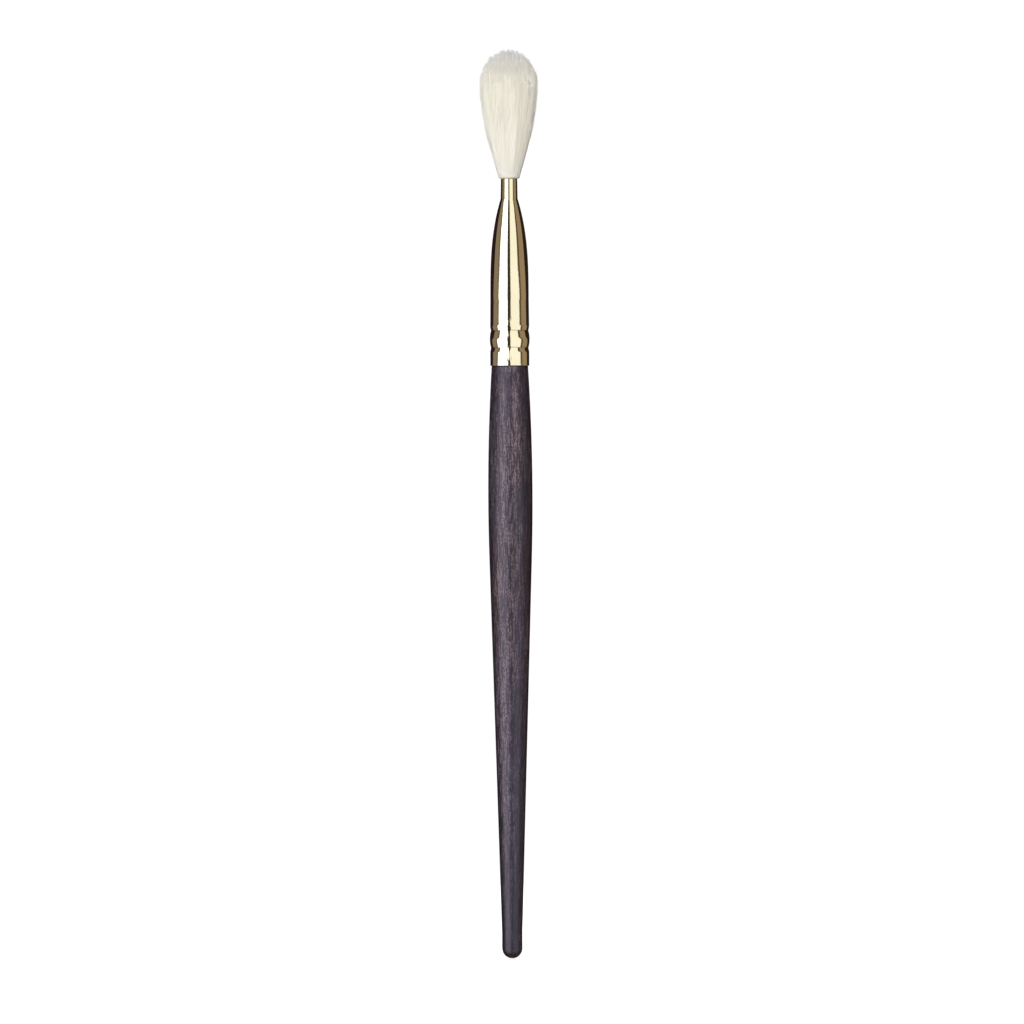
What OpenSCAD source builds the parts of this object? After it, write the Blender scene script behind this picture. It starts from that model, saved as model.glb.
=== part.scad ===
// Round mop brush for calligraphy and washes: a turned hardwood handle, a one-piece
// crimped brass ferrule and a domed tuft of goat hair.
// Millimetres. The origin is the lowest point of the butt, on the axis of the brush,
// and +Z runs up the handle to the tuft. Every piece is round about that axis.

/* [Handle] */
// Length of handle that shows, from the butt to the ferrule
handle_len = 123.9; // [112:0.1:136]
// Diameter at the grip, where the handle is thickest
grip_d = 9.28; // [9.1:0.02:9.6]
// Height of the grip above the butt
grip_z = 96.8; // [90:0.1:99]
// Radius of the long arc that runs over the grip
grip_arc_r = 440; // [400:5:600]
// Diameter of the short straight stretch at the butt
butt_d = 4.24; // [3.6:0.02:4.6]
// Length of the straight stretch at the butt
butt_len = 3; // [2:0.1:6]
// Height of the rounded end below it
butt_round = 2.2; // [1.5:0.1:4]
// Length of the tenon that goes into the ferrule
tenon_len = 16; // [12:0.5:18]

/* [Ferrule] */
// Length of the ferrule, from its lip to its mouth
ferrule_len = 39.2; // [38:0.1:46]
// Outer diameter at the plain collar above the lip
collar_d = 8.18; // [8.16:0.01:8.3]
// Thickness of the drawn brass
wall = 0.28; // [0.2:0.01:0.3]
// Height of the lower crimp groove above the lip
groove_z = 3.85; // [3:0.05:5]
// Distance between the two crimp grooves
groove_gap = 3.55; // [3:0.05:4.5]
// Height of each slope that runs into a groove
groove_slope = 0.9; // [0.5:0.05:1.2]
// Depth of the grooves below the collar
groove_depth = 0.15; // [0.08:0.01:0.2]
// How far the bead between the grooves stands proud of the collar
bead_proud = 0.085; // [0:0.005:0.15]
// Outer diameter at the top of the barrel, where the ogive starts
barrel_d = 8.06; // [7.96:0.02:8.1]
// Length of the ogive, from the barrel to the neck
ogive_len = 21.1; // [18:0.1:24]
// Fullness of the ogive: 2 is a parabola, more is a blunter nose
ogive_power = 2.9; // [2:0.1:3.5]
// Outer diameter at the foot of the neck
neck_d = 3.58; // [3.5:0.02:4]
// Outer diameter at the mouth
mouth_d = 3.44; // [3.4:0.02:3.5]
// Length of the neck
neck_len = 4.2; // [3.5:0.1:5]

/* [Hair] */
// Length of the hair that shows, from the mouth to the tip
hair_len = 26.9; // [24:0.1:32]
// Largest diameter of the tuft
tuft_d = 12.36; // [11:0.02:14]
// Height of the dome above the largest diameter
dome_h = 7.7; // [6:0.1:9]
// Diameter of the core of stiffer hair at the dome
core_d = 6.8; // [5:0.1:8]
// Length of the glued root that is hidden in the ferrule
root_len = 10.9; // [10:0.1:11]
// Turns of thread around the root
thread_turns = 8; // [5:1:8]
// Diameter of the thread
thread_d = 0.3; // [0.2:0.02:0.3]

/* [Bending] */
// Height of the bending point above the mouth
pivot_h = 1.2; // [1.1:0.05:1.3]
// Gap between the bending tuft and the root that stays still
bend_gap = 0.2; // [0.1:0.05:0.3]

/* [Hidden] */
$fn = 96;

// Heights of the main joints along the brush
lip_z = handle_len;
mouth_z = lip_z + ferrule_len;
tip_z = mouth_z + hair_len;
neck_z = mouth_z - neck_len;
ogive_z = neck_z - ogive_len;
low_groove_z = lip_z + groove_z;
high_groove_z = low_groove_z + groove_gap;

// Handle
grip_r = grip_d / 2;
butt_r = butt_d / 2;
butt_top_z = butt_round + butt_len;
// Centre of the grip's arc, and the angles at which the taper and the ferrule meet it
arc_x = grip_r - grip_arc_r;
butt_dir = [butt_r - arc_x, butt_top_z - grip_z];
taper_a = atan2(butt_dir[1], butt_dir[0]) + acos(grip_arc_r / norm(butt_dir));
lip_a = asin((lip_z - grip_z) / grip_arc_r);

// Ferrule
collar_r = collar_d / 2;
barrel_r = barrel_d / 2;
neck_r = neck_d / 2;
mouth_r = mouth_d / 2;
groove_r = collar_r - groove_depth;
edge_r = wall * 0.45;
// The bead is one arc from groove to groove
bead_h = groove_depth + bead_proud;
bead_arc_r = (pow(groove_gap / 2, 2) + pow(bead_h, 2)) / (2 * bead_h);
bead_arc_x = groove_r + bead_h - bead_arc_r;
bead_a = asin(groove_gap / 2 / bead_arc_r);

// Tenon, with a film of glue between it and the ferrule
glue_t = 0.08;
tenon_r = collar_r - wall - glue_t;
tenon_top_r = barrel_r - wall - glue_t;
tenon_top_z = lip_z + tenon_len;
tenon_chamfer = 0.6;
glue_start = 0.3;

// Hair root, its binding and the resin that holds it
root_z = mouth_z - root_len;
root_end_r = 2.1;
waist_r = 1.75;
thread_pitch = thread_d * 0.9;
binding_z = root_z + 1.7;
binding_top_z = binding_z + (thread_turns - 1) * thread_pitch + thread_d;
resin_low_z = root_z - 1;
resin_top_z = neck_z - 1.1;

// Tuft. Its foot is a ball about the bending point, so that it turns inside the mouth
tuft_r = tuft_d / 2;
wide_z = tip_z - dome_h;
pivot_z = mouth_z + pivot_h;
ball_r = pivot_h * 1.4;
ball_top_a = 16;
root_top_z = pivot_z - ball_r - bend_gap;
flank_foot_r = 2.1;
flank_power = 1.48;
flank_start = 0.13;
dome_power = 2.05;
core_foot_r = 1;
core_r = core_d / 2;

// Points on an arc about (x, z), from angle a0 to a1
function arc(x, z, r, a0, a1, steps) =
    [for (i = [0:steps]) let (a = a0 + (a1 - a0) * i / steps) [x + r * cos(a), z + r * sin(a)]];

function reversed(points) = [for (i = [len(points) - 1:-1:0]) points[i]];

// Radius of the ferrule along the ogive, where t goes from 0 at the barrel to 1 at the neck
function ogive_r(t) = neck_r + (barrel_r - neck_r) * (1 - pow(t, ogive_power));

// Radius of the tuft along its flank, where t goes from 0 at the mouth to 1 at the widest place
function flank_r(t) = flank_foot_r + (tuft_r - flank_foot_r) * (1 - pow(1 - t, flank_power));

// Radius of the tuft over its dome, where t goes from 0 at the widest place to 1 at the tip
function dome_r(t) = tuft_r * pow(1 - pow(t, dome_power), 1 / dome_power);

// Outline of the ferrule between its lip and its mouth, as [radius, height]
ferrule_line = concat(
    [[collar_r, lip_z], [collar_r, low_groove_z - groove_slope]],
    arc(bead_arc_x, (low_groove_z + high_groove_z) / 2, bead_arc_r, -bead_a, bead_a, 12),
    [[collar_r, high_groove_z + groove_slope]],
    [for (i = [0:18]) let (t = i / 18) [ogive_r(t), ogive_z + t * ogive_len]],
    [[mouth_r, mouth_z]]
);
bore_line = [for (p = ferrule_line) [p[0] - wall, p[1]]];

// Outline of the tenon, pinched where the ferrule is crimped into it
function pinch(z) = [
    [tenon_r, z - groove_slope],
    [groove_r - wall - glue_t, z],
    [tenon_r, z + groove_slope]
];
tenon_line = concat(
    [[tenon_r, lip_z]],
    pinch(low_groove_z),
    pinch(high_groove_z),
    [[tenon_top_r, tenon_top_z - tenon_chamfer], [tenon_top_r - tenon_chamfer, tenon_top_z]]
);

// Area between an outline and the axis of the brush
module to_axis(line) {
    last = line[len(line) - 1];
    polygon(concat([[0, line[0][1]]], line, [[0, last[1]]]));
}

// The bore of the ferrule between two heights
module bore_between(low, high) {
    intersection() {
        to_axis(bore_line);
        translate([0, low]) square([collar_r, high - low]);
    }
}

module root_outline() {
    neck_bore_r = neck_r - wall;
    mouth_bore_r = mouth_r - wall;
    top_t = (root_top_z - neck_z) / neck_len;
    to_axis([
        [root_end_r, root_z],
        [waist_r, binding_z],
        [waist_r, binding_top_z],
        [neck_bore_r, neck_z],
        [neck_bore_r + (mouth_bore_r - neck_bore_r) * top_t, root_top_z]
    ]);
}

// Side-by-side turns of thread on the waist of the root
module binding_outline() {
    translate([waist_r, binding_z + thread_d / 2])
        square([thread_d / 2, (thread_turns - 1) * thread_pitch]);
    for (i = [0:thread_turns - 1])
        translate([waist_r, binding_z + thread_d / 2 + i * thread_pitch])
            intersection() {
                translate([thread_d / 2, 0]) circle(d = thread_d, $fn = 24);
                translate([0, -thread_d / 2]) square(thread_d);
            }
}

module tuft_outline() {
    to_axis(concat(
        arc(0, pivot_z, ball_r, -89.9, ball_top_a, 16),
        [for (i = [0:14]) let (t = flank_start + (1 - flank_start) * i / 14)
            [flank_r(t), mouth_z + t * (wide_z - mouth_z)]],
        [for (i = [1:16]) let (t = sin(i * 90 / 17)) [dome_r(t), wide_z + t * dome_h]],
        [[0, tip_z]]
    ));
}

// The part of the tuft that the core fills: a cone, then straight up through the dome
module core_zone() {
    to_axis([
        [core_foot_r, mouth_z - ball_r],
        [core_foot_r, pivot_z],
        [core_r, wide_z],
        [core_r, tip_z + 1]
    ]);
}

module handle() {
    color([0.27, 0.24, 0.27])
        rotate_extrude()
            polygon(concat(
                [for (i = [0:12]) let (a = i * 90 / 12) [butt_r * sin(a), butt_round * (1 - cos(a))]],
                [[butt_r, butt_top_z]],
                arc(arc_x, grip_z, grip_arc_r, taper_a, lip_a, 16),
                tenon_line,
                [[0, tenon_top_z]]
            ));
}

module tenon_glue() {
    color([0.85, 0.72, 0.42])
        rotate_extrude()
            difference() {
                bore_between(lip_z + glue_start, tenon_top_z - tenon_chamfer);
                to_axis(tenon_line);
            }
}

module ferrule() {
    middle = [for (i = [1:len(ferrule_line) - 2]) ferrule_line[i]];
    color([0.88, 0.78, 0.55])
        rotate_extrude()
            polygon(concat(
                arc(collar_r - edge_r, lip_z + edge_r, edge_r, -90, 0, 4),
                middle,
                arc(mouth_r - edge_r, mouth_z - edge_r, edge_r, 0, 90, 4),
                reversed(bore_line)
            ));
}

module resin_plug() {
    color([0.78, 0.62, 0.30])
        rotate_extrude()
            difference() {
                bore_between(resin_low_z, resin_top_z);
                root_outline();
                binding_outline();
            }
}

module hair_binding() {
    color([0.92, 0.90, 0.84])
        rotate_extrude()
            binding_outline();
}

module hair_root() {
    color([0.80, 0.70, 0.48])
        rotate_extrude()
            root_outline();
}

module hair_core() {
    color([0.90, 0.86, 0.74])
        rotate_extrude()
            intersection() {
                tuft_outline();
                core_zone();
            }
}

module hair_mantle() {
    color([0.94, 0.92, 0.86])
        rotate_extrude()
            difference() {
                tuft_outline();
                core_zone();
            }
}

handle();
tenon_glue();
ferrule();
resin_plug();
hair_binding();
hair_root();
hair_core();
hair_mantle();
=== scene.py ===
"""A round mop brush: a turned and stained handle, a polished brass ferrule and a tuft of goat hair."""

import math

import bmesh
import bpy
import numpy as np
from mathutils import Matrix, Vector


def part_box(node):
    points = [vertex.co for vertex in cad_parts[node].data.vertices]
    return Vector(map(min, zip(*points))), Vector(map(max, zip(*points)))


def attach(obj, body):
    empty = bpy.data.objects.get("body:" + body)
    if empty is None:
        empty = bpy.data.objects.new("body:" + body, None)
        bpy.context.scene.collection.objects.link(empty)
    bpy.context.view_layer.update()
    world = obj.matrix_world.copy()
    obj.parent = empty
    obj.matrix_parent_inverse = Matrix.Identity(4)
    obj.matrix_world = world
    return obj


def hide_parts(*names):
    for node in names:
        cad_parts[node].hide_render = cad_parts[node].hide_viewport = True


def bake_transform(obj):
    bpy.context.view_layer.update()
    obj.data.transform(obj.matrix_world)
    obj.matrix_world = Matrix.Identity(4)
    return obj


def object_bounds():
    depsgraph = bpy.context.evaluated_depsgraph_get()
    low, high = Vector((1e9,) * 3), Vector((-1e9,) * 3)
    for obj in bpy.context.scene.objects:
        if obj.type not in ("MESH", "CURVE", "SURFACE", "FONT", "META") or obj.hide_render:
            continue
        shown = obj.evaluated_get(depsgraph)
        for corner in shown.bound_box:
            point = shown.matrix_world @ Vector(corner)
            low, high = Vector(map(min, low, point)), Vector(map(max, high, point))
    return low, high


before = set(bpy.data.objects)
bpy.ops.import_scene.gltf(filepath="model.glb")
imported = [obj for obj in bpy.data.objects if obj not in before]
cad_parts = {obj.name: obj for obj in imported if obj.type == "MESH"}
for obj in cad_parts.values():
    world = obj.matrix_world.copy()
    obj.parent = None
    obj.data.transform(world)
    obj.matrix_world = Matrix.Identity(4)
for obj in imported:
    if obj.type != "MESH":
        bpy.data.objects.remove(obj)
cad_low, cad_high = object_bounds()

MM = 0.001
TAU = 2 * math.pi
rng = np.random.default_rng(7)

# ---------------------------------------------------------------- sizes, all from the frame
ferrule_low, ferrule_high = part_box("ferrule")
binding_low, binding_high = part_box("hair_binding")
lip_z = ferrule_low.z
mouth_z = ferrule_high.z
tip_z = cad_high.z
hair_len = tip_z - mouth_z
tuft_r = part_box("hair_mantle")[1].x


# ---------------------------------------------------------------- mesh helpers
SAME_PLACE = 1e-7  # points nearer than this are one
SHORTEST_STEP = 1e-9  # between two points of an outline
RING_PITCH = 0.002 * MM  # points whose heights differ by less are one ring


def mesh_piece(name, verts, faces, material, uv=None):
    """A smooth mesh object.

    faces is a list of arrays, each of faces with one number of corners, and uv has a row for each corner.
    """
    corners = np.concatenate([f.ravel() for f in faces]).astype(np.int32)
    sizes = np.concatenate([np.full(len(f), f.shape[1]) for f in faces])
    starts = np.concatenate([[0], np.cumsum(sizes)[:-1]]).astype(np.int32)
    mesh = bpy.data.meshes.new(name)
    mesh.vertices.add(len(verts))
    mesh.vertices.foreach_set("co", np.asarray(verts, np.float32).ravel())
    mesh.loops.add(len(corners))
    mesh.loops.foreach_set("vertex_index", corners)
    mesh.polygons.add(len(sizes))
    mesh.polygons.foreach_set("loop_start", starts)
    mesh.update(calc_edges=True)
    if uv is not None:
        layer = mesh.uv_layers.new(name="OFBake")
        layer.data.foreach_set("uv", np.asarray(uv, np.float32).ravel())
    mesh.materials.append(material)
    mesh.validate()
    mesh.shade_smooth()
    piece = bpy.data.objects.new(name, mesh)
    bpy.context.scene.collection.objects.link(piece)
    return piece


def weld(piece):
    """Merges the doubled points where a turned piece meets its axis, and turns every face outwards."""
    bm = bmesh.new()
    bm.from_mesh(piece.data)
    bmesh.ops.remove_doubles(bm, verts=bm.verts, dist=SAME_PLACE)
    bmesh.ops.recalc_face_normals(bm, faces=bm.faces)
    bm.to_mesh(piece.data)
    bm.free()
    piece.data.shade_smooth()


def turned(name, outline, sides, material, closed=False, flute=None):
    """A surface turned about Z from an outline of [radius, height], which a radius of 0 closes at the axis.

    flute(radius, angle) gives the radius that each point gets instead.
    """
    outline = np.asarray(outline, float)
    if closed:
        outline = np.concatenate([outline, outline[:1]])
    rows = len(outline)
    angle = np.arange(sides) * TAU / sides
    radius = np.repeat(outline[:, :1], sides, 1)
    height = np.repeat(outline[:, 1:], sides, 1)
    if flute:
        radius = flute(radius, angle[None, :])
    verts = np.stack([radius * np.cos(angle), radius * np.sin(angle), height], -1).reshape(-1, 3)
    i, j = np.meshgrid(np.arange(rows - 1), np.arange(sides), indexing="ij")
    k = (j + 1) % sides
    quads = np.stack([i * sides + j, i * sides + k, (i + 1) * sides + k, (i + 1) * sides + j], -1)
    run = np.concatenate([[0], np.cumsum(np.hypot(*np.diff(outline, axis=0).T))])
    run /= run[-1]
    u = np.stack([j, j + 1, j + 1, j], -1) / sides
    v = np.stack([run[i], run[i], run[i + 1], run[i + 1]], -1)
    piece = mesh_piece(name, verts, [quads.reshape(-1, 4)], material, np.stack([u, v], -1))
    weld(piece)
    return piece


def steady_curve(x, y, at):
    """A smooth curve through y(x) that doesn't overshoot its points, at the given places.

    The slope at a point is a weighted harmonic mean of those beside it, or 0 where they differ in sign.
    """
    h = np.diff(x)
    d = np.diff(y) / h
    slope = np.zeros_like(y)
    same = d[1:] * d[:-1] > 0
    w1 = (2 * h[1:] + h[:-1])[same]
    w2 = (h[1:] + 2 * h[:-1])[same]
    slope[1:-1][same] = (w1 + w2) / (w1 / d[:-1][same] + w2 / d[1:][same])
    slope[0] = d[0]
    slope[-1] = d[-1]
    i = np.clip(np.searchsorted(x, at) - 1, 0, len(h) - 1)
    t = (at - x[i]) / h[i]
    ends = y[i] * (1 + 2 * t) * (1 - t) ** 2 + y[i + 1] * t * t * (3 - 2 * t)
    slopes = slope[i] * t * (1 - t) ** 2 + slope[i + 1] * t * t * (t - 1)
    return ends + h[i] * slopes


def fine_outline(points, step):
    """The same outline as a smooth curve through its points, with a point about every step."""
    p = np.array(points, float)
    run = np.concatenate([[0], np.cumsum(np.hypot(*np.diff(p, axis=0).T))])
    keep = np.concatenate([[True], np.diff(run) > SHORTEST_STEP])
    p, run = p[keep], run[keep]
    places = [run[-1]]
    for a, b in zip(run[:-1], run[1:]):
        places.extend(np.linspace(a, b, max(2, math.ceil((b - a) / step) + 1))[:-1])
    at = np.sort(places)
    return np.column_stack([steady_curve(run, p[:, 0], at), steady_curve(run, p[:, 1], at)])


def rings(node):
    """The rings of points of a round CAD node, lowest first, as [height, least radius, greatest radius]."""
    co = np.array([v.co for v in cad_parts[node].data.vertices])
    r = np.hypot(co[:, 0], co[:, 1])
    keys = np.round(co[:, 2] / RING_PITCH).astype(int)
    members = [keys == k for k in np.unique(keys)]
    return np.array([(co[ring, 2].mean(), r[ring].min(), r[ring].max()) for ring in members])


def tubes(name, centre, width, material, sides=3, tone=None):
    """Closed tubes along centre lines (tube, point, xyz), with a width for each point.

    tone has a value for each tube, which its material can read.
    """
    count, points = centre.shape[:2]
    along = np.gradient(centre, axis=1)
    along /= np.linalg.norm(along, axis=2, keepdims=True)
    out = centre * (1, 1, 0) + (SAME_PLACE, 0, 0)
    side = np.cross(along, out)
    side /= np.linalg.norm(side, axis=2, keepdims=True)
    up = np.cross(side, along)
    spin = rng.uniform(0, TAU, (count, 1, 1))
    around = [spin + TAU * k / sides for k in range(sides)]
    half = width[..., None] / 2
    verts = np.stack([centre + half * (np.cos(b) * side + np.sin(b) * up) for b in around], 2)
    index = np.arange(count * points * sides).reshape(count, points, sides)
    turn = np.roll(np.arange(sides), -1)
    walls = np.stack([index[:, :-1], index[:, :-1, turn], index[:, 1:, turn], index[:, 1:]], -1)
    caps = np.concatenate([index[:, 0, ::-1], index[:, -1]])
    piece = mesh_piece(
        name, verts.reshape(-1, 3), [walls.reshape(-1, 4), caps], material,
        np.concatenate([wall_map(count, points, sides), cap_map(count, sides)]),
    )
    if tone is not None:
        values = piece.data.attributes.new("tone", "FLOAT", "POINT")
        values.data.foreach_set("value", np.repeat(tone, points * sides).astype(np.float32))
    return piece


MAP_ROWS = 16  # of cells, one for each tube
CELL_MARGIN = 0.05  # share of a cell that stays free at each of its edges
WALL_LEFT, WALL_RIGHT = 0.2, 0.8  # shares of a cell between which the walls lie


def map_cells(count):
    """The corner and the size of each tube's own cell in the texture map of its piece."""
    columns = math.ceil(count / MAP_ROWS)
    cell = np.arange(count)
    corner = np.stack([cell % columns / columns, cell // columns / MAP_ROWS], -1)
    return corner, np.array([1 / columns, 1 / MAP_ROWS])


def wall_map(count, points, sides):
    """The places of the corners of the walls in the texture map: one strip for each tube."""
    corner, size = map_cells(count)
    low = np.arange(points - 1)[None, :, None, None] / (points - 1)
    high = low + 1 / (points - 1)
    shape = (count, points - 1, sides, 1)
    v = np.concatenate([np.broadcast_to(k, shape) for k in (low, low, high, high)], -1)
    u = np.broadcast_to([WALL_LEFT, WALL_RIGHT, WALL_RIGHT, WALL_LEFT], v.shape)
    local = CELL_MARGIN + (1 - 2 * CELL_MARGIN) * np.stack([u, v], -1)
    return (corner[:, None, None, None, :] + local * size).reshape(-1, 2)


def cap_map(count, sides):
    """The same for the end caps, each a point at its end of the strip."""
    corner, size = map_cells(count)
    low = np.repeat((corner + size * (0.5, CELL_MARGIN))[:, None], sides, 1)
    high = np.repeat((corner + size * (0.5, 1 - CELL_MARGIN))[:, None], sides, 1)
    return np.concatenate([low, high]).reshape(-1, 2)


# ---------------------------------------------------------------- materials
class Nodes:
    """A material with one Principled shader, and short calls that add nodes to it."""

    def __init__(self, name, **sockets):
        self.material = bpy.data.materials.new(name)
        self.material.use_nodes = True
        self.tree = self.material.node_tree
        self.shader = self.tree.nodes["Principled BSDF"]
        for socket, value in sockets.items():
            self.shader.inputs[socket.replace("_", " ")].default_value = value

    def add(self, kind, inputs=None, **settings):
        node = self.tree.nodes.new("ShaderNode" + kind)
        for key, value in settings.items():
            setattr(node, key, value)
        for key, value in (inputs or {}).items():
            if isinstance(value, bpy.types.NodeSocket):
                self.tree.links.new(value, node.inputs[key])
            else:
                node.inputs[key].default_value = value
        return node

    def place(self):
        return self.add("TexCoord").outputs["Object"]

    def height(self):
        return self.add("SeparateXYZ", {"Vector": self.place()}).outputs["Z"]

    def share(self, low, high):
        """0 at the height low, 1 at the height high, and even between them."""
        heights = {"Value": self.height(), "From Min": low, "From Max": high}
        return self.add("MapRange", heights).outputs["Result"]

    def noise(self, across, along, seed=0.0, detail=2.0, roughness=0.5, distortion=0.0):
        """Noise in patches of 1/across metres across the brush and 1/along metres along it."""
        spot = self.add("Mapping", {
            "Vector": self.place(),
            "Location": (seed, seed * 1.7, seed * 2.3),
            "Scale": (across, across, along),
        })
        settings = {
            "Vector": spot.outputs["Vector"], "Scale": 1.0, "Detail": detail,
            "Roughness": roughness, "Distortion": distortion,
        }
        return self.add("TexNoise", settings).outputs["Fac"]

    def ramp(self, value, *stops):
        """A colour that follows the value. A stop is (value, colour), where a number stands for a grey."""
        node = self.add("ValToRGB", {"Fac": value})
        elements = node.color_ramp.elements
        while len(elements) < len(stops):
            elements.new(0.5)
        for element, (place, colour) in zip(elements, stops):
            element.position = place
            element.color = (*colour, 1) if isinstance(colour, tuple) else (colour, colour, colour, 1)
        return node.outputs["Color"]

    def mix(self, factor, a, b, blend="MIX"):
        a, b = [(*c, 1) if isinstance(c, tuple) else c for c in (a, b)]
        return self.add("Mix", {0: factor, 6: a, 7: b}, data_type="RGBA", blend_type=blend).outputs[2]

    def math(self, operation, a, b=0.0):
        return self.add("Math", {0: a, 1: b}, operation=operation).outputs[0]

    def link(self, output, socket):
        self.tree.links.new(output, self.shader.inputs[socket])

    def bump(self, height, distance, strength=1.0):
        node = self.add("Bump", {"Height": height, "Distance": distance, "Strength": strength})
        self.link(node.outputs["Normal"], "Normal")


# colours of the wood
THICK_STAIN, EVEN_STAIN, THIN_STAIN = (0.022, 0.016, 0.028), (0.054, 0.041, 0.056), (0.102, 0.080, 0.098)
# a blue-black for both the stain and the patches of painted shade
BLUE_BLACK = (0.019, 0.016, 0.038)
# a brown for both the heartwood and a painted highlight
BROWN = (0.160, 0.102, 0.094)
# a pale colour for painted highlight
PAINTED_HIGHLIGHT_COLOUR = (0.185, 0.142, 0.135)
FIBRE = (0.175, 0.142, 0.158)
PORE = (0.008, 0.006, 0.011)
FLECK = (0.008, 0.006, 0.012)
# what the stain's colour is multiplied by at the butt, in the middle and at the ferrule
BUTT_TINT, MIDDLE_TINT, TOP_TINT = (0.60, 0.62, 0.86), (0.88, 0.86, 0.97), (1.0, 1.0, 1.0)

# the centre and the radii of each patch of the handle, in millimetres: brown heartwood, partly painted
# highlight; blue-black painted shade; and pale painted highlight
# brown heartwood; the second patch, at the left edge of the lacquer's highlight, is also a painted highlight
HEARTWOOD_AND_PAINTED_HIGHLIGHT = (
    ((1.3, -4.4, 105), (1.2, 2.5, 9)),
    ((-2.9, -3.4, 76), (1.2, 2.2, 15)),
)
# painted shade, blue-black: down the handle's right side, away from the softbox, and just under the ferrule's
# lip
PAINTED_SHADE_PATCHES = (
    ((3.8, -2.6, 84), (1.5, 2.6, 26)),
    ((0.0, -4.2, 119), (1.4, 2.0, 5)),
    ((1.8, -2.6, 34), (1.7, 2.5, 56)),
)
# painted highlight: pale patches on the front left of the handle, where the softbox's reflection lies
PAINTED_HIGHLIGHT_PATCHES = (
    ((-1.6, -4.3, 96), (1.3, 2.0, 22)),
    ((-1.7, -3.0, 50), (1.4, 2.3, 35)),
)
PAINTED_HIGHLIGHT_SHARE = 0.6

GRAIN_DEPTH = 0.1 * MM


def patch(n, centre, radii, seed):
    """1 in the middle of a ragged patch, 0 outside it."""
    scale = [1 / (r * MM) for r in radii]
    offset = [-c / r for c, r in zip(centre, radii)]
    spot = n.add("Mapping", {"Vector": n.place(), "Location": offset, "Scale": scale}).outputs["Vector"]
    away = n.add("VectorMath", {0: spot}, operation="LENGTH").outputs["Value"]
    ragged = n.math("ADD", away, n.noise(1500, 120, seed=seed))
    return n.ramp(n.math("MULTIPLY", ragged, 0.5), (0.4, 1.0), (0.85, 0.0))


def stained_wood():
    """Close-grained hardwood in a thin black-violet stain, under a satin lacquer, with patches of painted
    highlight and painted shade.
    """
    n = Nodes("stained_wood", IOR=1.64, Specular_Tint=(0.94, 0.87, 1.0, 1.0))
    up = n.share(cad_low.z, lip_z)
    cloud = n.noise(240, 25, seed=3.1, distortion=0.3)
    colour = n.ramp(cloud, (0.40, THICK_STAIN), (0.50, EVEN_STAIN), (0.60, THIN_STAIN))
    # stretches where the stain lies blue-black, with patches of painted shade among them, and brown heartwood
    # that it covers less, with one patch that is also a painted highlight
    blue = n.ramp(n.noise(280, 50, seed=5.2), (0.50, 0.0), (0.60, 0.8))
    # patches of painted shade on the right side and under the lip
    for number, (centre, radii) in enumerate(PAINTED_SHADE_PATCHES):
        blue = n.math("MAXIMUM", blue, patch(n, centre, radii, seed=11.4 + number))
    colour = n.mix(blue, colour, BLUE_BLACK)
    brown = n.math("MULTIPLY", n.ramp(n.noise(300, 40, seed=8.4), (0.50, 0.0), (0.66, 0.7)), up)
    # heartwood patches, the second of which is also a painted highlight
    for number, (centre, radii) in enumerate(HEARTWOOD_AND_PAINTED_HIGHLIGHT):
        brown = n.math("MAXIMUM", brown, patch(n, centre, radii, seed=4.4 + number))
    colour = n.mix(brown, colour, BROWN)
    # painted highlight on the lit left side
    for number, (centre, radii) in enumerate(PAINTED_HIGHLIGHT_PATCHES):
        pale = n.math("MULTIPLY", patch(n, centre, radii, seed=17.4 + number), PAINTED_HIGHLIGHT_SHARE)
        colour = n.mix(pale, colour, PAINTED_HIGHLIGHT_COLOUR)
    # pale fibres, fewer in the blue-black stain and the painted shade, dark pores along the grain and dark
    # specks
    fibre = n.noise(2400, 80, seed=1.3, roughness=0.6)
    shows = n.ramp(blue, (0.2, 1.0), (0.9, 0.45))
    fibres = n.math("MULTIPLY", n.ramp(fibre, (0.48, 0.0), (0.66, 0.60)), shows)
    colour = n.mix(fibres, colour, FIBRE)
    pore = n.noise(3100, 240, seed=6.6, roughness=0.7)
    colour = n.mix(n.ramp(pore, (0.47, 0.0), (0.55, 0.95)), colour, PORE)
    fleck = n.noise(4200, 2000, seed=2.9, detail=1.0)
    colour = n.mix(n.ramp(fleck, (0.49, 0.0), (0.57, 0.9)), colour, FLECK)
    # darker and colder towards the butt
    tint = n.ramp(up, (0.0, BUTT_TINT), (0.55, MIDDLE_TINT), (1.0, TOP_TINT))
    colour = n.mix(1.0, colour, tint, "MULTIPLY")
    n.link(colour, "Base Color")
    n.link(n.ramp(fibre, (0.35, 0.42), (0.65, 0.30)), "Roughness")
    depth = n.math("ADD", n.math("MULTIPLY", pore, -0.6), n.math("MULTIPLY", fleck, -0.4))
    n.bump(depth, GRAIN_DEPTH, 0.8)
    return n.material


WORN_BRASS, BRIGHT_BRASS = (0.91, 0.84, 0.59), (0.955, 0.90, 0.665)
# painted shade: the brass turns dark brown towards the bottom of each crimp groove
GROOVE_SHADE = (0.30, 0.23, 0.13)
GROOVE_SHADE_REACH = 0.16 * MM  # from the bottom of a groove
GROOVE_SHADE_SHARE = 0.7
MARK_DEPTH = 0.09 * MM
# where the crimping roller bit and let go: the centre and the radii of its marks, in millimetres
ROLLER_MARKS = ((-0.15, -4.0, lip_z / MM + 4.2), (0.9, 1.6, 4.6))


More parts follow.
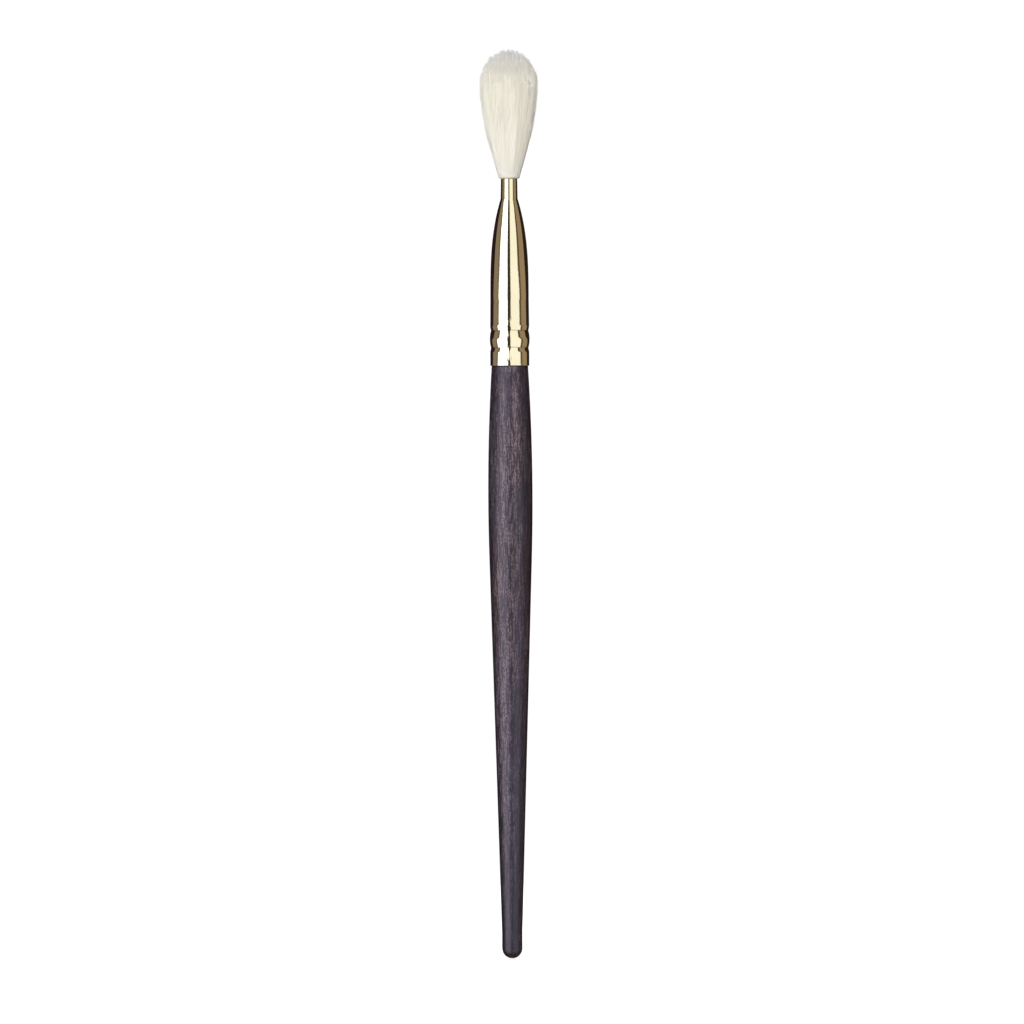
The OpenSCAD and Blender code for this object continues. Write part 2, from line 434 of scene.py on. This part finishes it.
def polished_brass(groove_heights):
    """Drawn and buffed brass, slightly tarnished, with painted shade in the grooves and marks of the roller.
    """
    n = Nodes("polished_brass", Metallic=1.0)
    tarnish = n.noise(260, 120, detail=3.0)
    colour = n.ramp(tarnish, (0.3, WORN_BRASS), (0.7, BRIGHT_BRASS))
    # painted shade, darkest at the bottom of each groove
    for height in groove_heights:
        away = n.math("ABSOLUTE", n.math("SUBTRACT", n.height(), height))
        near = {"Value": away, "From Min": GROOVE_SHADE_REACH, "From Max": 0.0, "To Max": GROOVE_SHADE_SHARE}
        colour = n.mix(n.add("MapRange", near).outputs["Result"], colour, GROOVE_SHADE)
    n.link(colour, "Base Color")
    drawn = n.noise(9000, 300, seed=4.0)
    n.link(n.ramp(drawn, (0.3, 0.065), (0.7, 0.090)), "Roughness")
    marks = n.math("MULTIPLY", n.noise(1800, 700, seed=7.5, detail=1.0), patch(n, *ROLLER_MARKS, seed=1.9))
    n.bump(marks, MARK_DEPTH)
    return n.material


def hair_material(name, stops, shade):
    """Hair whose colour changes along the tuft, with painted light and shade in that change, and towards
    shade as its tone falls.
    """
    n = Nodes(name, Specular_IOR_Level=0.3)
    # painted shading along the tuft: darker near the mouth and at the dome's top, brightest between
    along = n.ramp(n.share(mouth_z, tip_z), *stops)
    tone = n.add("Attribute", attribute_name="tone").outputs["Fac"]
    dull = n.mix(1.0, along, shade, "MULTIPLY")
    n.link(n.mix(tone, dull, along), "Base Color")
    n.link(n.ramp(n.noise(2500, 900, seed=9.0), (0.3, 0.42), (0.7, 0.6)), "Roughness")
    return n.material


# ---------------------------------------------------------------- camera, floor and light
CAMERA_DISTANCE = 1.5
SENSOR_WIDTH = 36  # millimetres
FILLED = 0.8871  # share of the picture's height that the brush takes
LEFT_OF_MIDDLE = 0.0015  # shares of the picture's width
ABOVE_MIDDLE = 0.0076
LEAN = math.radians(0.243)


def camera():
    """Level with the middle of the brush and nearly without perspective."""
    frame_width = (cad_high.z - cad_low.z) / FILLED
    data = bpy.data.cameras.new("camera")
    data.sensor_width = SENSOR_WIDTH
    data.lens = data.sensor_width * CAMERA_DISTANCE / frame_width
    eye = bpy.data.objects.new("camera", data)
    bpy.context.scene.collection.objects.link(eye)
    middle_z = (cad_low.z + cad_high.z) / 2
    spot = Vector((LEFT_OF_MIDDLE * frame_width, -CAMERA_DISTANCE, middle_z - ABOVE_MIDDLE * frame_width))
    turn = Matrix.Rotation(math.pi / 2, 4, "X") @ Matrix.Rotation(-LEAN, 4, "Z")
    eye.matrix_world = Matrix.Translation(spot) @ turn
    bpy.context.scene.camera = eye


def emitter(name, colour, strength):
    """A material that only glows."""
    material = bpy.data.materials.new(name)
    material.use_nodes = True
    tree = material.node_tree
    tree.nodes.clear()
    glow = tree.nodes.new("ShaderNodeEmission")
    glow.inputs["Color"].default_value = (*colour, 1)
    glow.inputs["Strength"].default_value = strength
    out = tree.nodes.new("ShaderNodeOutputMaterial")
    tree.links.new(glow.outputs[0], out.inputs["Surface"])
    return material


CARD_DISTANCE = 0.8
CARD_GAP = 10 * MM  # between a softbox's two cards
CARD_STEPS = 16
# Heights of the cards, and the kind of row there: what the wood mirrors (0), the top of the barrel (1),
# the ogive (2) and its steep end (3). The collar, the bead and the foot of the barrel mirror what lies
# between the first two.
CARD_ROWS = (-0.8, lip_z + 1 * MM, lip_z + 61 * MM, lip_z + 100 * MM, 0.49, 0.60, 1.1)
ROW_KINDS = (0, 0, 1, 2, 2, 3, 3)


def card(name, start, end, colour, strength=1.0, distance=CARD_DISTANCE):
    """A curved studio card round the brush, between two azimuths, each given for every kind of row.

    Azimuth 0 is the camera's side, and positive is to its right.
    """
    verts = []
    for height, kind in zip(CARD_ROWS, ROW_KINDS):
        azimuth = np.radians(np.linspace(start[kind], end[kind], CARD_STEPS + 1))
        x, y = distance * np.sin(azimuth), -distance * np.cos(azimuth)
        verts.append(np.stack([x, y, np.full(len(x), height)], -1))
    row, step = np.meshgrid(np.arange(len(CARD_ROWS) - 1), np.arange(CARD_STEPS), indexing="ij")
    first = row * (CARD_STEPS + 1) + step
    quads = np.stack([first, first + 1, first + CARD_STEPS + 2, first + CARD_STEPS + 1], -1).reshape(-1, 4)
    sheet = mesh_piece(name, np.concatenate(verts), [quads], emitter(name, colour, strength))
    sheet.visible_camera = False
    return sheet


def softbox(name, start, end, colour, shown, shone):
    """Two cards: the brass shows the front one, and the one behind it lights what is matt."""
    front = card(name, start, end, colour, shown)
    front.visible_diffuse = False
    front.visible_shadow = False
    back = card(f"{name}_light", start, end, colour, shone, CARD_DISTANCE + CARD_GAP)
    back.visible_glossy = False


LAMP_D = 0.35
LAMP_RISE = 0.24  # above the ferrule's mouth
LAMPS = {"fill": (-0.02, -0.66, 4.85), "back": (-0.05, 0.66, 1.8)}  # x, y and watts


def soft_lamp(name, x, y, watts):
    """A soft lamp above the tuft, inside the cards, which the brass doesn't mirror."""
    data = bpy.data.lights.new(name, "AREA")
    data.shape = "DISK"
    data.size = LAMP_D
    data.energy = watts
    lamp = bpy.data.objects.new(name, data)
    bpy.context.scene.collection.objects.link(lamp)
    lamp.location = (x, y, mouth_z + LAMP_RISE)
    lamp.rotation_euler = (Vector((0, 0, mouth_z)) - lamp.location).to_track_quat("-Z", "Y").to_euler()
    lamp.visible_camera = False
    lamp.visible_glossy = False


# the azimuths where one card ends and the next begins, for each kind of row
SEAMS = {
    "wall_left": (-121, -107, -104, -108),
    "frame_left": (-87, -74, -72, -82),
    "softbox_left": (-77, -63, -61, -72),
    "flag_front": (-16, -12, -13, -15),
    "softbox_right": (8, 6, 5, 6),
    "frame_right": (70, 57, 51, 54),
    "wall_right": (82, 70, 64, 66),
    "flag_right": (124, 110, 105, 103),
    "backdrop": 4 * (168,),
    "flag_left": 4 * (192,),
}
COOL_WHITE, WARM_WHITE = (1.0, 0.98, 1.0), (1.0, 0.985, 0.97)


def studio():
    """Two softboxes with black flags between and beside them, and a white backdrop."""
    s = SEAMS
    card("frame_left", s["frame_left"], s["softbox_left"], (0.15, 0.12, 0.10))
    softbox("softbox_left", s["softbox_left"], s["flag_front"], COOL_WHITE, shown=2.05, shone=0.95)
    card("flag_front", s["flag_front"], s["softbox_right"], (0.045, 0.035, 0.025))
    softbox("softbox_right", s["softbox_right"], s["frame_right"], WARM_WHITE, shown=1.04, shone=0.35)
    card("frame_right", s["frame_right"], s["wall_right"], (0.09, 0.065, 0.04))
    card("wall_right", s["wall_right"], s["flag_right"], (0.31, 0.225, 0.15))
    card("flag_right", s["flag_right"], s["backdrop"], (0.02, 0.014, 0.011))
    card("flag_left", [azimuth - 360 for azimuth in s["flag_left"]], s["wall_left"], (0.02, 0.01, 0.013))
    card("backdrop", s["backdrop"], s["flag_left"], (1.0, 1.0, 1.0))
    for name, (x, y, watts) in LAMPS.items():
        soft_lamp(name, x, y, watts)


ROOM = {"seen": (1.05, 1.05, 1.05), "reflected": (0.24, 0.19, 0.145), "lighting": (0.56, 0.56, 0.60)}


def room():
    """White behind the brush, a dim warm reflection in its brass, and a soft even light on all of it."""
    world = bpy.data.worlds.new("room")
    bpy.context.scene.world = world
    world.use_nodes = True
    tree = world.node_tree
    tree.nodes.clear()
    path = tree.nodes.new("ShaderNodeLightPath")
    shade = {}
    for use, colour in ROOM.items():
        shade[use] = tree.nodes.new("ShaderNodeBackground")
        shade[use].inputs["Color"].default_value = (*colour, 1)
    lit = tree.nodes.new("ShaderNodeMixShader")
    tree.links.new(path.outputs["Is Diffuse Ray"], lit.inputs[0])
    tree.links.new(shade["reflected"].outputs[0], lit.inputs[1])
    tree.links.new(shade["lighting"].outputs[0], lit.inputs[2])
    whole = tree.nodes.new("ShaderNodeMixShader")
    tree.links.new(path.outputs["Is Camera Ray"], whole.inputs[0])
    tree.links.new(lit.outputs[0], whole.inputs[1])
    tree.links.new(shade["seen"].outputs[0], whole.inputs[2])
    out = tree.nodes.new("ShaderNodeOutputWorld")
    tree.links.new(whole.outputs[0], out.inputs["Surface"])
    bpy.context.scene.view_settings.view_transform = "Standard"


FLOOR_R = 0.30
FLOOR_GAP = 0.3 * MM
FLOOR_SIDES = 96
FLOOR_COLOUR = (0.8, 0.8, 0.8, 1)
FLOOR_GLOW = 0.62


def floor():
    """A pale round table under the butt, which glows a little to stay pale in the dim warm room."""
    n = Nodes(
        "pale_floor", Base_Color=FLOOR_COLOUR, Roughness=1.0, Specular_IOR_Level=0.0,
        Emission_Color=(1, 1, 1, 1), Emission_Strength=FLOOR_GLOW,
    )
    angle = np.arange(FLOOR_SIDES) * TAU / FLOOR_SIDES
    height = np.full(FLOOR_SIDES, cad_low.z - FLOOR_GAP)
    verts = np.stack([FLOOR_R * np.cos(angle), FLOOR_R * np.sin(angle), height], -1)
    disc = mesh_piece("floor", verts, [np.arange(FLOOR_SIDES)[None, :]], n.material)
    disc.visible_diffuse = False
    disc.visible_glossy = False


# ---------------------------------------------------------------- handle and ferrule
FINE_STEP = 0.15 * MM  # between the points of an outline, for mirroring brass
PLAIN_STEP = 0.6 * MM
HANDLE_SIDES = 144
FERRULE_SIDES = 192
LEDGE = 0.01 * MM  # a ring wider than this is a flat ledge
CRIMP_HEIGHT = 9 * MM  # the grooves lie within this height of the ferrule's lower edge


def handle():
    """The CAD outline as a smooth curve, with the ledge where the tenon starts."""
    points = []
    for z, r_min, r_max in rings("handle"):
        points.append((r_max, z))
        if r_max - r_min > LEDGE:
            points.append((r_min, z))
    points.append((0.0, points[-1][1]))
    piece = turned("turned_handle", fine_outline(points, PLAIN_STEP), HANDLE_SIDES, stained_wood())
    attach(piece, "handle")
    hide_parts("handle")


def ferrule():
    """The CAD outline as smooth curves, outside and inside."""
    z, r_min, r_max = rings("ferrule").T
    wall = np.median(r_max - r_min)
    both = r_max - r_min > wall / 2
    outer_r = np.interp(z, z[both], r_max[both])
    inner_r = np.interp(z, z[both], r_min[both])
    outer = both | (np.abs(r_max - outer_r) < np.abs(r_max - inner_r))
    inner = both | ~outer
    outside = fine_outline(np.column_stack([r_max, z])[outer], FINE_STEP)
    inside = fine_outline(np.column_stack([r_min, z])[inner][::-1], PLAIN_STEP)
    r = outside[:, 0]
    valley = (r[1:-1] < r[:-2]) & (r[1:-1] < r[2:]) & (outside[1:-1, 1] < lip_z + CRIMP_HEIGHT)
    brass = polished_brass(outside[1:-1, 1][valley])
    piece = turned("brass_ferrule", np.concatenate([outside, inside]), FERRULE_SIDES, brass, closed=True)
    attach(piece, "handle")
    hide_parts("ferrule")


# ---------------------------------------------------------------- inside the ferrule
def cured(name, thin, thick, roughness):
    """Set glue or resin, a little uneven in its colour."""
    n = Nodes(name)
    n.link(n.ramp(n.noise(700, 400, seed=12.1, detail=3.0), (0.35, thin), (0.65, thick)), "Base Color")
    n.link(n.ramp(n.noise(2000, 1200, seed=13.6), (0.3, roughness), (0.7, roughness + 0.15)), "Roughness")
    return n.material


def paint(node, material):
    """Gives a CAD node a material of its own."""
    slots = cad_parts[node].data.materials
    slots.clear()
    slots.append(material)


ROOT_SIDES = 288
RIDGES = (71, 29)  # two counts round the root, which make uneven ridges together
RIDGE_DEPTH = 0.015  # share of the radius


def glued_root():
    """The lower ends of the hairs, stuck together in ridges."""
    n = Nodes("glued_hair")
    streak = n.noise(5000, 300, seed=14.2)
    n.link(n.ramp(streak, (0.35, (0.50, 0.33, 0.13)), (0.65, (0.78, 0.62, 0.36))), "Base Color")
    n.link(n.ramp(streak, (0.3, 0.25), (0.7, 0.45)), "Roughness")
    outline = [(0.0, rings("hair_root")[0, 0])]
    outline.extend((r, z) for z, _, r in rings("hair_root"))
    outline.append((0.0, outline[-1][1]))

    def ridges(radius, angle):
        wave = np.sin(RIDGES[0] * angle) * np.sin(RIDGES[1] * angle + 1.0)
        return radius * (1 - RIDGE_DEPTH * (1 + wave))

    piece = turned("glued_root", outline, ROOT_SIDES, n.material, flute=ridges)
    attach(piece, "handle")
    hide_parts("hair_root")


THREAD_D = 0.3 * MM
THREAD_TURNS = 8
TWIST_PER_TURN = 9  # turns of the two plies about each other in one turn about the root
STEPS_PER_TURN = 54
PLY_SIDES = 8


def binding():
    """A two-ply thread wound round the root."""
    n = Nodes("binding_thread", Specular_IOR_Level=0.3)
    fluff = n.noise(9000, 9000, seed=15.3)
    n.link(n.ramp(fluff, (0.35, (0.50, 0.44, 0.34)), (0.65, (0.80, 0.75, 0.64))), "Base Color")
    n.link(n.ramp(fluff, (0.3, 0.7), (0.7, 0.9)), "Roughness")
    radius = binding_high.x - THREAD_D / 2
    t = np.linspace(0, 1, THREAD_TURNS * STEPS_PER_TURN + 1)
    angle = TAU * THREAD_TURNS * t
    height = binding_low.z + THREAD_D / 2 + (binding_high.z - binding_low.z - THREAD_D) * t
    plies = []
    for side in (0, math.pi):
        twist = TWIST_PER_TURN * angle + side
        away = radius + THREAD_D / 4 * np.cos(twist)
        up = height + THREAD_D / 4 * np.sin(twist)
        plies.append(np.stack([away * np.cos(angle), away * np.sin(angle), up], -1))
    width = np.full((2, len(t)), THREAD_D / 2)
    piece = tubes("binding_thread", np.stack(plies), width, n.material, sides=PLY_SIDES)
    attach(piece, "handle")
    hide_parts("hair_binding")


def inside():
    """What the ferrule hides."""
    paint("tenon_glue", cured("wood_glue", (0.60, 0.50, 0.31), (0.76, 0.68, 0.48), roughness=0.45))
    paint("resin_plug", cured("hair_resin", (0.36, 0.17, 0.04), (0.58, 0.33, 0.10), roughness=0.12))
    glued_root()
    binding()


# ---------------------------------------------------------------- hair
FLANK_FOOT_R = 2.1 * MM
FLANK_POWER = 1.48
DOME_POWER = 2.05
DOME_H = 7.7 * MM
BORE_R = 1.38 * MM
ROLL_H = 0.03 * MM  # how fast the hair rolls out over the mouth
SHORTEST = 0.08  # more than any hair falls short of the dome, as a share of the dome's size
LOOSE_AT_FOOT, LOOSE_AT_DOME = 0.04, 0.13  # depth of the loose outer hair, as a share of the radius
FOOT_HEIGHTS = np.array([-1.0, -0.05, 0.06, 0.16, 0.40, 1.0]) * MM  # of a long hair's points at the mouth
wide_z = tip_z - DOME_H

# ranges of the hairs, in millimetres
HAIR_WIDTH = (0.05, 0.08)
STRAY_WIDTH = (0.03, 0.05)
WANDER = (0.01, 0.06)  # how far a hair sways to its sides
STRAY_WANDER = (0.05, 0.3)
DOME_LENGTH = (5, 9)
STRAY_LENGTH = (4, 8)
STRAY_START = (0.12, 0.75)  # shares of the tuft's length

LONG_UNEVEN = 0.5 * MM  # the most that a hair ends below its bunch
DOME_UNEVEN = 0.4 * MM
STRAY_LIFT = 0.7 * MM  # the most that a stray hair's end stands off the skin
LONG_STEPS = 11  # enough of them for a smooth bend
SHORT_STEPS = 6


def flank(z):
    """Radius of the tuft up to its widest place."""
    t = np.clip((z - mouth_z) / (wide_z - mouth_z), 0, 1)
    swell = FLANK_FOOT_R + (tuft_r - FLANK_FOOT_R) * (1 - (1 - t) ** FLANK_POWER)
    return swell - (FLANK_FOOT_R - BORE_R) * np.exp(-np.maximum(z - mouth_z, 0) / ROLL_H)


def dome(z):
    """Radius of the dome above the widest place, as a share of the greatest radius."""
    t = np.clip((z - wide_z) / DOME_H, 0, 1)
    return (1 - t ** DOME_POWER) ** (1 / DOME_POWER)


def looseness(z):
    """How deep the loose outer hair is, as a share of the radius: it grows from the mouth to the dome."""
    t = np.clip((z - mouth_z) / (wide_z - mouth_z), 0, 1)
    return LOOSE_AT_FOOT + (LOOSE_AT_DOME - LOOSE_AT_FOOT) * t * t


def reach(share, curl, short=0.0):
    """Height where a hair at this share of the radius ends, in the dome or in one made smaller by short."""
    there = share * (1 - curl) / (1 - share * curl)
    short = short * np.clip((1 - there) / SHORTEST, 0, 1)
    there = there / (1 - short)
    return wide_z + (1 - short) * DOME_H * (1 - np.clip(there, 0, 1) ** DOME_POWER) ** (1 / DOME_POWER)


class Clumps:
    """Bunches whose hairs lie mixed down the tuft and gather to a point each at its dome.

    depth is a bunch's place between the skin (0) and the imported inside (1), curl how closely it follows the
    dome, and short the share of the dome's size by which it falls short of it. Where short is negative, the
    bunch stands out.
    """

    LOOSE = 0.16 * MM  # how far the hairs of a bunch lie apart down the tuft
    GATHERED = 0.04 * MM  # and at its dome
    GATHER_H = 6 * MM  # height over which they gather
    CROWDED = 0.25  # share of the radius that LOOSE doesn't pass near the mouth
    SINK_H = 3 * MM  # how fast the hairs of a bunch part in depth above the mouth
    LEAST_SINK, MOST_SINK = 0.05, 0.6  # bounds of how far they part in depth, as a share of how far aside
    AXIS_R = 0.5 * MM  # nearer to the axis than this, a hair sways as if it lay here
    SWAY = 2.2 * math.pi  # angle of the wave in which a hair sways, from its root to its tip

    def __init__(self, count, depth, curl, short):
        self.count = count
        self.angle = rng.uniform(0, TAU, count)
        self.depth, self.curl, self.short = depth, curl, short
        self.tone = rng.random(count)

    def end(self, member):
        """Heights at which hairs of the given bunches end."""
        share = 1 - self.depth[member] * looseness(tip_z)
        return reach(share, self.curl[member], self.short[member])

    def combed(self, member, z, wander, lift=0.0):
        """Centre lines, at the heights z, of hairs of the given bunches, whose ends stand off by lift."""
        t = (z - z[:, :1]) / (z[:, -1:] - z[:, :1])
        curl = self.curl[member][:, None]
        beyond = tuft_r * (1 - curl + curl * dome(z))
        radius = (1 - self.depth[member][:, None] * looseness(z)) * np.where(z > wide_z, beyond, flank(z))
        gather = np.clip((z - z[:, -1:]) / self.GATHER_H + 1, 0, 1) ** 1.5
        loose = np.minimum(self.LOOSE, self.CROWDED * radius) * (1 - gather) + self.GATHERED * gather
        aside, inward = rng.normal(0, 1, (2, len(z), 1)) * loose
        phase = rng.uniform(0, TAU, (len(z), 1))
        sway = wander[:, None] * t ** 1.5 * np.sin(phase + self.SWAY * t)
        angle = self.angle[member][:, None] + (aside + sway) / np.maximum(radius, self.AXIS_R)
        sink = np.clip((z - mouth_z) / self.SINK_H, self.LEAST_SINK, self.MOST_SINK)
        radius = radius - np.abs(inward) * sink + lift * t * t
        return np.stack([radius * np.cos(angle), radius * np.sin(angle), z], -1)


TAPER_PLACES = (0, 0.15, 0.55, 0.85, 1.0)  # along a hair


def taper(thick, points, root, tip):
    """Widths along hairs that thin to their roots and tips, which have a share of the full width."""
    t = np.linspace(0, 1, points)
    return thick[:, None] * np.interp(t, TAPER_PLACES, [root, 0.9, 1.0, 0.7, tip])


def bend(piece):
    """Bakes the piece's placement into its points; the hair isn't bent here."""
    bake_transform(piece)


PACKED_SIDES = 360
PACKED_ROWS = 130
PACKED_INSET = 2.1 * MM  # how far its dome lies below the tuft's
PACKED_SHARE = 0.99  # of the radius within the loose outer hair
PACKED_FEET = np.array([-1.2, -0.1, 0.05, 0.12, 0.22, 0.4, 0.7]) * MM  # heights of its points at the mouth
PACKED_START = 1.1 * MM  # height above the mouth where its even rows start
PACKED_TONE = 0.7
FLUTES = ((61, 0.3, 1.0), (97, 1.9, 0.8), (143, 4.0, 0.6))  # the count round the tuft, phase and share
FLUTE_DEPTH = 0.006  # share of the radius


def packed_hair(material):
    """The close-packed inside of the tuft, fluted like combed hair."""
    rows = np.linspace(mouth_z + PACKED_START, tip_z - PACKED_INSET, PACKED_ROWS)
    z = np.concatenate([mouth_z + PACKED_FEET, rows])
    squeezed = wide_z + (z - wide_z) * DOME_H / (DOME_H - PACKED_INSET)
    r = np.where(z < wide_z, flank(z), tuft_r * dome(squeezed)) * (PACKED_SHARE - looseness(z))
    r[-1] = 0
    outline = np.concatenate([[[0, z[0]]], np.column_stack([r, z])])

    def flute(radius, angle):
        ridge = sum(share * np.sin(angle * count + phase) for count, phase, share in FLUTES)
        return radius * (1 + FLUTE_DEPTH * ridge * np.clip(radius / tuft_r, 0, 1))

    piece = turned("packed_hair", outline, PACKED_SIDES, material, flute=flute)
    values = piece.data.attributes.new("tone", "FLOAT", "POINT")
    values.data.foreach_set("value", np.full(len(piece.data.vertices), PACKED_TONE, np.float32))
    bend(piece)
    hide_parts("hair_core")


def mantle_hair(number, clumps, count, material):
    """Long hairs of the skin, from inside the ferrule to the dome."""
    member = rng.integers(0, clumps.count, count)
    end = clumps.end(member) - LONG_UNEVEN * rng.random(count) ** 2
    foot = mouth_z + FOOT_HEIGHTS
    rise = np.linspace(0, 1, LONG_STEPS + 1)[1:]
    z = np.concatenate([np.tile(foot, (count, 1)), foot[-1] + (end - foot[-1])[:, None] * rise], 1)
    centre = clumps.combed(member, z, rng.uniform(*WANDER, count) * MM)
    thick = taper(rng.uniform(*HAIR_WIDTH, count) * MM, z.shape[1], root=0.6, tip=0.2)
    tone = 0.5 * clumps.tone[member] + 0.5 * rng.random(count)
    piece = tubes(f"mantle_hair_{number}", centre, thick, material, tone=tone)
    bend(piece)
    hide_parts("hair_mantle")


def dome_hair(number, clumps, count, material):
    """Ends of the hairs that fill the dome. Their thin roots lie hidden at different depths."""
    member = rng.integers(0, clumps.count, count)
    end = clumps.end(member) - DOME_UNEVEN * rng.random(count) ** 2
    length = rng.uniform(*DOME_LENGTH, count) * MM
    z = end[:, None] - length[:, None] * np.linspace(1, 0, SHORT_STEPS + 1)
    centre = clumps.combed(member, z, rng.uniform(*WANDER, count) * MM)
    thick = taper(rng.uniform(*HAIR_WIDTH, count) * MM, z.shape[1], root=0.1, tip=0.45)
    tone = 0.7 * clumps.tone[member] + 0.3 * rng.random(count)
    piece = tubes(f"dome_hair_{number}", centre, thick, material, tone=tone)
    bend(piece)


def stray_hair(clumps, count, material):
    """Fine hairs whose ends stand off the skin."""
    member = rng.integers(0, clumps.count, count)
    start = mouth_z + hair_len * rng.uniform(*STRAY_START, count)
    end = np.minimum(start + rng.uniform(*STRAY_LENGTH, count) * MM, clumps.end(member))
    z = start[:, None] + (end - start)[:, None] * np.linspace(0, 1, SHORT_STEPS + 1)
    lift = STRAY_LIFT * rng.random((count, 1)) ** 2
    centre = clumps.combed(member, z, rng.uniform(*STRAY_WANDER, count) * MM, lift)
    thick = taper(rng.uniform(*STRAY_WIDTH, count) * MM, z.shape[1], root=0.8, tip=0.2)
    piece = tubes("stray_hair", centre, thick, material, tone=rng.random(count))
    bend(piece)


# colours along the tuft, at shares of its length from the ferrule's mouth, with painted shading in them:
# lowered near the mouth and at the dome's top as painted shade, raised between as painted light; and what
# multiplies dull hairs
IVORY = (
    (0.0, (0.82, 0.805, 0.755)),
    (0.4, (0.95, 0.935, 0.855)),
    (0.8, (0.97, 0.955, 0.87)),
    (1.0, (0.74, 0.73, 0.715)),
)
IVORY_SHADE = (0.875, 0.86, 0.79)
CREAM = (
    (0.0, (0.955, 0.93, 0.85)),
    (0.8, (0.97, 0.955, 0.87)),
    (1.0, (0.74, 0.73, 0.715)),
)
CREAM_SHADE = (0.83, 0.815, 0.76)
GREY = (
    (0.0, (0.90, 0.885, 0.84)),
    (0.75, (0.97, 0.955, 0.875)),
    (0.9, (0.87, 0.86, 0.85)),
    (1.0, (0.70, 0.69, 0.71)),
)
GREY_SHADE = (0.88, 0.87, 0.85)

BUNCHES = 2400
SPIKES = 450
SHORT = 0.06  # the most that a bunch falls short of the dome, as a share of the dome's size
MANTLE_PIECES, MANTLE_HAIRS = 6, 2000
DOME_PIECES, DOME_HAIRS = 2, 5200
SPIKE_HAIRS = 3600
STRAY_HAIRS = 2600


def depth_in_dome(count, share):
    """Depths of bunches spread evenly over the dome out to this share of its radius, as seen from above."""
    return (1 - share * np.sqrt(rng.random(count))) / looseness(tip_z)


def tuft():
    """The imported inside, the skin, the ends that fill the dome, the spikes at its edge and stray hairs."""
    ivory = hair_material("mantle_hair", IVORY, IVORY_SHADE)
    cream = hair_material("core_hair", CREAM, CREAM_SHADE)
    grey = hair_material("fine_hair", GREY, GREY_SHADE)
    packed_hair(cream)
    outer = Clumps(
        BUNCHES,
        depth=rng.random(BUNCHES) ** 0.6,
        curl=rng.uniform(0.0, 0.7, BUNCHES),
        short=SHORT * rng.random(BUNCHES) ** 0.5,
    )
    for number in range(1, MANTLE_PIECES + 1):
        mantle_hair(number, outer, MANTLE_HAIRS, ivory)
    inner = Clumps(
        BUNCHES,
        depth=depth_in_dome(BUNCHES, 0.97),
        curl=rng.uniform(-0.2, 0.4, BUNCHES),
        short=SHORT * rng.random(BUNCHES) ** 0.5,
    )
    for number in range(1, DOME_PIECES + 1):
        dome_hair(number, inner, DOME_HAIRS, cream)
    spikes = Clumps(
        SPIKES,
        depth=depth_in_dome(SPIKES, 0.99),
        curl=rng.uniform(-0.3, 0.2, SPIKES),
        short=0.085 * rng.random(SPIKES) - 0.055,
    )
    dome_hair(DOME_PIECES + 1, spikes, SPIKE_HAIRS, grey)
    stray_hair(outer, STRAY_HAIRS, grey)


# ---------------------------------------------------------------- the whole scene
camera()
studio()
room()
floor()
handle()
ferrule()
inside()
tuft()
